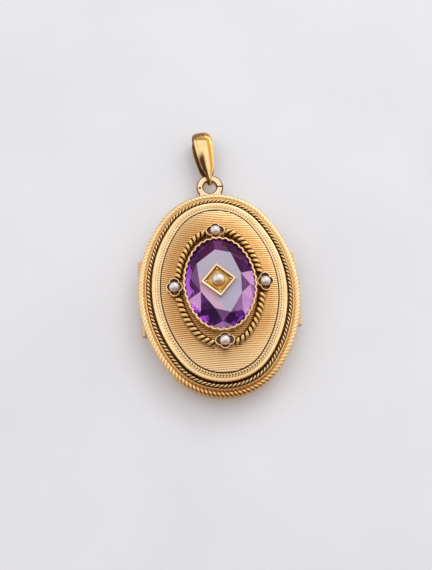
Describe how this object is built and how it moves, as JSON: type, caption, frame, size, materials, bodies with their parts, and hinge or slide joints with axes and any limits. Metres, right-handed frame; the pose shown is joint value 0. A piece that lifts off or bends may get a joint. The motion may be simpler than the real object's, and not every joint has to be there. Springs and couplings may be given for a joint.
{
  "type": "photo locket",
  "caption": "Oval hinged gold photo locket with an engine-turned front, rope borders, an oval amethyst, pearls in collets and a swinging bail.",
  "frame": {"origin": "centre of the flat back, on the surface the locket lies on", "axes": "+Z out of the front, +Y towards the hanging loop, +X to the opening side, with the hinge at -X"},
  "size_m": [0.0304, 0.0552, 0.0114],
  "materials": {
    "gold_case": "polished yellow gold with fine wear",
    "gold_cover": "engine-turned and engraved yellow gold",
    "gold_frame": "polished yellow gold",
    "gold_pin": "drawn gold wire",
    "gold_rope": "twisted gold wire, dark in the grooves",
    "gold_setting": "bright-cut yellow gold",
    "gold_bail": "high polish yellow gold",
    "amethyst": "faceted clear violet stone",
    "pearl": "lustrous half pearl"
  },
  "bodies": {
    "case": {"back_case": "gold_case", "photo_frame_back": "gold_frame", "hinge_pin": "gold_pin"},
    "cover": {"cover": "gold_cover", "photo_frame_cover": "gold_frame", "rope_border": "gold_rope", "rope_wreath": "gold_rope", "stone_bezel": "gold_setting", "amethyst": "amethyst", "plaque": "gold_setting", "centre_pearl": "pearl", "collet_top": "gold_setting", "collet_right": "gold_setting", "collet_bottom": "gold_setting", "collet_left": "gold_setting", "pearl_top": "pearl", "pearl_right": "pearl", "pearl_bottom": "pearl", "pearl_left": "pearl"},
    "bail": {"bail": "gold_bail"}
  },
  "joints": [
    {"name": "cover_hinge", "type": "hinge", "parent": "case", "child": "cover", "pos_m": [-0.0144, 0, 0.0029], "axis": [0, -1, 0], "range_deg": [0, 95]},
    {"name": "bail_swing", "type": "hinge", "parent": "case", "child": "bail", "pos_m": [0.00003, 0.02458, 0.0023], "axis": [0.9945, 0.1045, 0], "range_deg": [-115, 120]}
  ]
}
